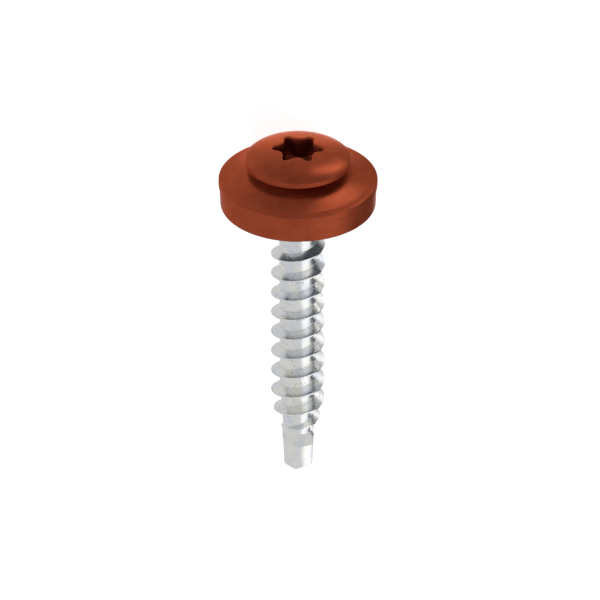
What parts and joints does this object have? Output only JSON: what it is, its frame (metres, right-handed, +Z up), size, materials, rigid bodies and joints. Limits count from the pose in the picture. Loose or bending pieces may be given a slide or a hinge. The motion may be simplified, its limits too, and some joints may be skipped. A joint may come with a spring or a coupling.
{
  "type": "self drilling screw",
  "caption": "Self drilling screw with a low domed head, a captive domed washer with bonded rubber seal, coarse thread and fluted drill point.",
  "frame": {"origin": "centre of the box round the whole part, on the surface that it lies on", "axes": "+X from the head towards the drill point along the surface, +Z up; the screw's own axis lies in the XZ plane and dips 10.3 degrees towards the point"},
  "size_m": [0.033, 0.014, 0.014],
  "materials": {
    "screw_steel": "bright zinc plated, the head painted red-brown",
    "washer_paint": "red-brown paint with a soft gloss",
    "seal_rubber": "rubber, its wall painted over with the washer"
  },
  "bodies": {
    "screw_body": {"screw": "screw_steel"},
    "washer_body": {"washer": "washer_paint", "sealing_ring": "seal_rubber"}
  },
  "joints": [
    {"name": "washer_turn", "type": "hinge", "parent": "screw_body", "child": "washer_body", "pos_m": [-0.01064, 0, 0.00671], "axis": [-0.9838, 0, 0.1791], "continuous": true}
  ]
}
